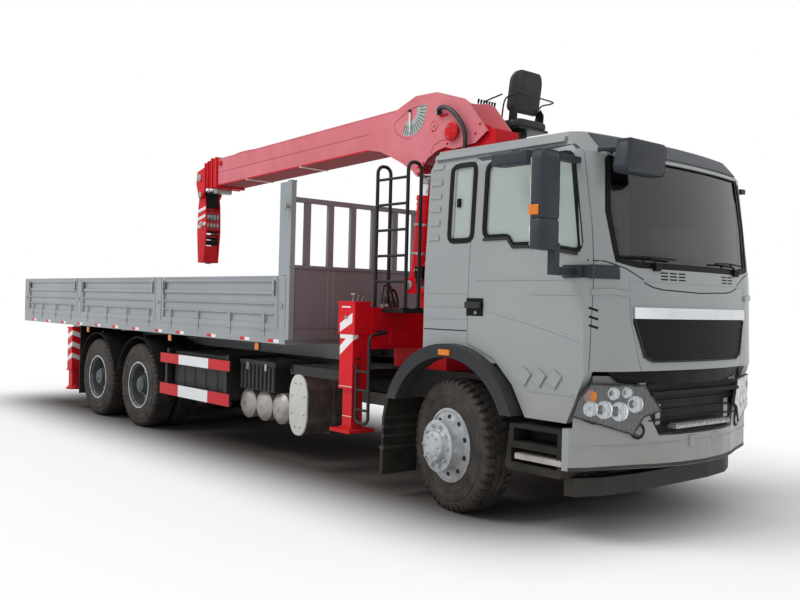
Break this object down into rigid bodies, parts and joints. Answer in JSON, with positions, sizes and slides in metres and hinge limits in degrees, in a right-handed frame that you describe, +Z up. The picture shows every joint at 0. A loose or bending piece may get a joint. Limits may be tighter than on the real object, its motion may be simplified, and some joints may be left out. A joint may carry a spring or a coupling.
{
  "type": "lorry with a telescopic loading crane behind the cab and a drop-side bed",
  "caption": "Three-axle lorry with a slewing telescopic loading crane behind its tilting cab, four stabiliser legs and a drop-side loading bed.",
  "frame": {"origin": "on the ground under the middle of the lorry's length and width", "axes": "+X forward, +Y to the driver's left, +Z up"},
  "size_m": [11.84, 3.015, 3.9198],
  "materials": {
    "body_grey": "satin paint",
    "crane_red": "gloss paint",
    "black_plastic": "grained",
    "frame_black": "chassis paint",
    "dark_steel": "matt",
    "wheel_silver": "satin",
    "tyre": "rubber",
    "window_glass": "tinted",
    "lamp_lens": "clear lens",
    "seat_fabric": "woven"
  },
  "bodies": {
    "truck": {"chassis_frame": "frame_black", "axles": "frame_black", "engine": "dark_steel", "tanks": "wheel_silver", "equipment_boxes": "black_plastic", "exhaust_box": "dark_steel", "side_guards": "crane_red", "mudguards": "black_plastic", "front_bumper": "body_grey", "headlamps": "lamp_lens", "crane_base": "crane_red", "ladders": "dark_steel", "bed_floor": "body_grey", "headboard": "body_grey"},
    "cab": {"cab_shell": "body_grey", "cab_glass": "window_glass", "cab_trim": "black_plastic", "cab_interior": "seat_fabric"},
    "front_flap": {"front_flap": "body_grey"},
    "column": {"crane_column": "crane_red", "operator_seat": "dark_steel"},
    "boom": {"boom": "crane_red"},
    "tailgate": {"tailgate": "body_grey"},
    "hook_block": {"hook_block": "crane_red"},
    "lift_barrel": {"lift_barrel": "crane_red"},
    "lift_rod": {"lift_rod": "wheel_silver"},
    "boom_section_1": {"boom_section_1": "crane_red"},
    "boom_section_2": {"boom_section_2": "crane_red"},
    "boom_section_3": {"boom_section_3": "crane_red"},
    "door_right": {"door_right": "body_grey", "door_glass_right": "window_glass"},
    "knuckle_right": {"knuckle_right": "frame_black"},
    "front_wheel_right": {"front_wheel_right": "wheel_silver", "front_tyre_right": "tyre"},
    "wheel_mid_right": {"wheel_mid_right": "wheel_silver", "tyre_mid_right": "tyre"},
    "wheel_rear_right": {"wheel_rear_right": "wheel_silver", "tyre_rear_right": "tyre"},
    "side_right_1": {"side_right_1": "body_grey"},
    "side_right_2": {"side_right_2": "body_grey"},
    "side_right_3": {"side_right_3": "body_grey"},
    "outrigger_beam_right": {"outrigger_beam_right": "crane_red"},
    "outrigger_leg_right": {"outrigger_leg_right": "crane_red"},
    "rear_leg_right": {"rear_leg_right": "crane_red"},
    "door_left": {"door_left": "body_grey", "door_glass_left": "window_glass"},
    "knuckle_left": {"knuckle_left": "frame_black"},
    "front_wheel_left": {"front_wheel_left": "wheel_silver", "front_tyre_left": "tyre"},
    "wheel_mid_left": {"wheel_mid_left": "wheel_silver", "tyre_mid_left": "tyre"},
    "wheel_rear_left": {"wheel_rear_left": "wheel_silver", "tyre_rear_left": "tyre"},
    "side_left_1": {"side_left_1": "body_grey"},
    "side_left_2": {"side_left_2": "body_grey"},
    "side_left_3": {"side_left_3": "body_grey"},
    "outrigger_beam_left": {"outrigger_beam_left": "crane_red"},
    "outrigger_leg_left": {"outrigger_leg_left": "crane_red"},
    "rear_leg_left": {"rear_leg_left": "crane_red"}
  },
  "joints": [
    {"name": "cab_tilt", "type": "hinge", "parent": "truck", "child": "cab", "pos_m": [5.72, 0, 1.06], "axis": [0, 1, 0], "range_deg": [0, 50]},
    {"name": "flap_lift", "type": "hinge", "parent": "cab", "child": "front_flap", "pos_m": [5.845, 0, 1.8997], "axis": [0, -1, 0], "range_deg": [0, 75]},
    {"name": "crane_slew", "type": "hinge", "parent": "truck", "child": "column", "pos_m": [3.12, 0, 1.8], "axis": [0, 0, 1], "continuous": true},
    {"name": "boom_lift", "type": "hinge", "parent": "column", "child": "boom", "pos_m": [3.274, 0, 3.386], "axis": [0, 1, 0], "range_deg": [0, 76]},
    {"name": "barrel_lean", "type": "hinge", "parent": "column", "child": "lift_barrel", "pos_m": [2.6, 0, 1.89], "axis": [0, 1, 0], "range_deg": [-1.5, 0.5]},
    {"name": "rod_slide", "type": "slide", "parent": "lift_barrel", "child": "lift_rod", "axis": [0.1012, 0, 0.9949], "range_m": [0, 0.79]},
    {"name": "hook_swing", "type": "hinge", "parent": "boom_section_3", "child": "hook_block", "pos_m": [-1.95673, 0, 3.16616], "axis": [0, 1, 0], "range_deg": [-30, 30]},
    {"name": "tailgate_fold", "type": "hinge", "parent": "truck", "child": "tailgate", "pos_m": [-5.928, 0, 1.388], "axis": [0, -1, 0], "range_deg": [0, 175]},
    {"name": "telescope_1", "type": "slide", "parent": "boom", "child": "boom_section_1", "axis": [-0.9995, 0, -0.0305], "range_m": [0, 3]},
    {"name": "telescope_2", "type": "slide", "parent": "boom_section_1", "child": "boom_section_2", "axis": [-0.9995, 0, -0.0305], "range_m": [0, 3]},
    {"name": "telescope_3", "type": "slide", "parent": "boom_section_2", "child": "boom_section_3", "axis": [-0.9995, 0, -0.0305], "range_m": [0, 3]},
    {"name": "door_right", "type": "hinge", "parent": "cab", "child": "door_right", "pos_m": [5.66, -1.125, 1.9], "axis": [0, 0, 1], "range_deg": [0, 70]},
    {"name": "steer_right", "type": "hinge", "parent": "truck", "child": "knuckle_right", "pos_m": [4.32, -0.95, 0.5425], "axis": [0, 0, 1], "range_deg": [-28, 48]},
    {"name": "spin_front_right", "type": "hinge", "parent": "knuckle_right", "child": "front_wheel_right", "pos_m": [4.32, -0.95, 0.5425], "axis": [0.1736, 0.9848, 0], "continuous": true},
    {"name": "spin_mid_right", "type": "hinge", "parent": "truck", "child": "wheel_mid_right", "pos_m": [-1.505, -1.06, 0.5425], "axis": [0, 1, 0], "continuous": true},
    {"name": "spin_rear_right", "type": "hinge", "parent": "truck", "child": "wheel_rear_right", "pos_m": [-2.855, -1.06, 0.5425], "axis": [0, 1, 0], "continuous": true},
    {"name": "side_right_1_fold", "type": "hinge", "parent": "truck", "child": "side_right_1", "pos_m": [-1.88, -1.258, 1.388], "axis": [1, 0, 0], "range_deg": [0, 175]},
    {"name": "side_right_2_fold", "type": "hinge", "parent": "truck", "child": "side_right_2", "pos_m": [-1.88, -1.258, 1.388], "axis": [1, 0, 0], "range_deg": [0, 175]},
    {"name": "side_right_3_fold", "type": "hinge", "parent": "truck", "child": "side_right_3", "pos_m": [-1.88, -1.258, 1.388], "axis": [1, 0, 0], "range_deg": [0, 175]},
    {"name": "outrigger_right", "type": "slide", "parent": "truck", "child": "outrigger_beam_right", "axis": [0, -1, 0], "range_m": [0, 1.6]},
    {"name": "front_jack_right", "type": "slide", "parent": "outrigger_beam_right", "child": "outrigger_leg_right", "axis": [0, 0, -1], "range_m": [0, 0.49]},
    {"name": "rear_jack_right", "type": "slide", "parent": "truck", "child": "rear_leg_right", "axis": [0, 0, -1], "range_m": [0, 0.27]},
    {"name": "door_left", "type": "hinge", "parent": "cab", "child": "door_left", "pos_m": [5.66, 1.125, 1.9], "axis": [0, 0, -1], "range_deg": [0, 70]},
    {"name": "steer_left", "type": "hinge", "parent": "truck", "child": "knuckle_left", "pos_m": [4.32, 0.95, 0.5425], "axis": [0, 0, 1], "range_deg": [-28, 48]},
    {"name": "spin_front_left", "type": "hinge", "parent": "knuckle_left", "child": "front_wheel_left", "pos_m": [4.32, 0.95, 0.5425], "axis": [0.1736, 0.9848, 0], "continuous": true},
    {"name": "spin_mid_left", "type": "hinge", "parent": "truck", "child": "wheel_mid_left", "pos_m": [-1.505, 1.06, 0.5425], "axis": [0, 1, 0], "continuous": true},
    {"name": "spin_rear_left", "type": "hinge", "parent": "truck", "child": "wheel_rear_left", "pos_m": [-2.855, 1.06, 0.5425], "axis": [0, 1, 0], "continuous": true},
    {"name": "side_left_1_fold", "type": "hinge", "parent": "truck", "child": "side_left_1", "pos_m": [-1.88, 1.258, 1.388], "axis": [-1, 0, 0], "range_deg": [0, 175]},
    {"name": "side_left_2_fold", "type": "hinge", "parent": "truck", "child": "side_left_2", "pos_m": [-1.88, 1.258, 1.388], "axis": [-1, 0, 0], "range_deg": [0, 175]},
    {"name": "side_left_3_fold", "type": "hinge", "parent": "truck", "child": "side_left_3", "pos_m": [-1.88, 1.258, 1.388], "axis": [-1, 0, 0], "range_deg": [0, 175]},
    {"name": "outrigger_left", "type": "slide", "parent": "truck", "child": "outrigger_beam_left", "axis": [0, 1, 0], "range_m": [0, 1.6]},
    {"name": "front_jack_left", "type": "slide", "parent": "outrigger_beam_left", "child": "outrigger_leg_left", "axis": [0, 0, -1], "range_m": [0, 0.49]},
    {"name": "rear_jack_left", "type": "slide", "parent": "truck", "child": "rear_leg_left", "axis": [0, 0, -1], "range_m": [0, 0.27]}
  ],
  "couplings": [
    {"joint": "barrel_lean", "follows": "boom_lift", "ratio": -0.015},
    {"joint": "rod_slide", "follows": "boom_lift", "m_per_rad": 0.5916},
    {"joint": "steer_left", "follows": "steer_right", "ratio": 1},
    {"joint": "telescope_2", "follows": "telescope_1", "ratio": 1},
    {"joint": "telescope_3", "follows": "telescope_1", "ratio": 1}
  ]
}
